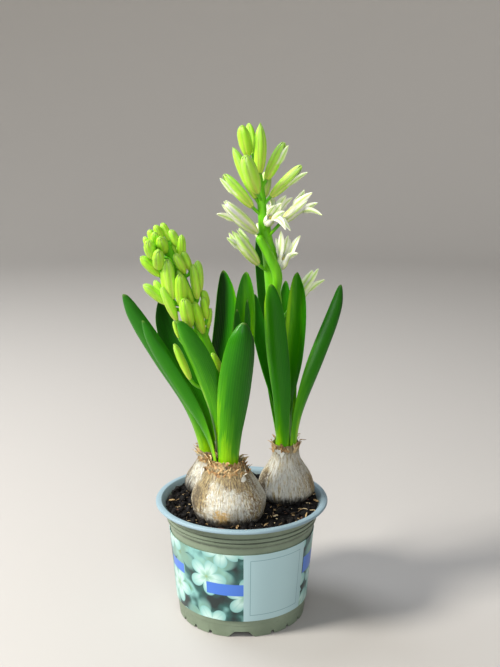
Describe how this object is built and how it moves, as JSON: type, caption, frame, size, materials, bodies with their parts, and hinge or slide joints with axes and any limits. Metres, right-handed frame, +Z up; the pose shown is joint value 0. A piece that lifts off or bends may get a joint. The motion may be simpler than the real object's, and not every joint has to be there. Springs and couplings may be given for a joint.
{
  "type": "potted hyacinth",
  "caption": "Potted hyacinths: papery bulbs half out of the soil of a plastic nursery pot, with upright strap leaves, a dense spike of buds and a taller spike of opening florets.",
  "frame": {"origin": "on the surface that the pot stands on, below the middle of the whole plant's width and depth; the pot's axis is 4.7 mm to the +X side of it", "axes": "+Z up along the pot's axis, +X to the right and -Y towards the viewer of the front"},
  "size_m": [0.1517, 0.12, 0.34],
  "materials": {
    "pot": "moulded, satin",
    "sleeve": "printed, semi-gloss",
    "soil": "moist peat, crumbly",
    "bulb": "dry papery skin",
    "leaf": "waxy, semi-gloss",
    "bud": "waxy, satin",
    "floret": "fleshy petal, satin"
  },
  "bodies": {
    "root": {"pot": "pot", "sleeve": "sleeve", "soil": "soil", "bulb_front": "bulb", "bulb_left": "bulb", "bulb_right": "bulb", "leaf_front_broad": "leaf", "leaf_front_side": "leaf", "leaf_front_left": "leaf", "leaf_front_back": "leaf", "leaf_front_inner": "leaf", "leaf_front_slim": "leaf", "leaf_left_outer": "leaf", "leaf_left_back": "leaf", "leaf_left_tall": "leaf", "leaf_right_front": "leaf", "leaf_right_outer": "leaf", "leaf_right_side": "leaf", "leaf_right_dark": "leaf", "leaf_right_back": "leaf", "leaf_right_tall": "leaf", "spike_front": "bud", "spike_right": "floret"}
  },
  "joints": []
}
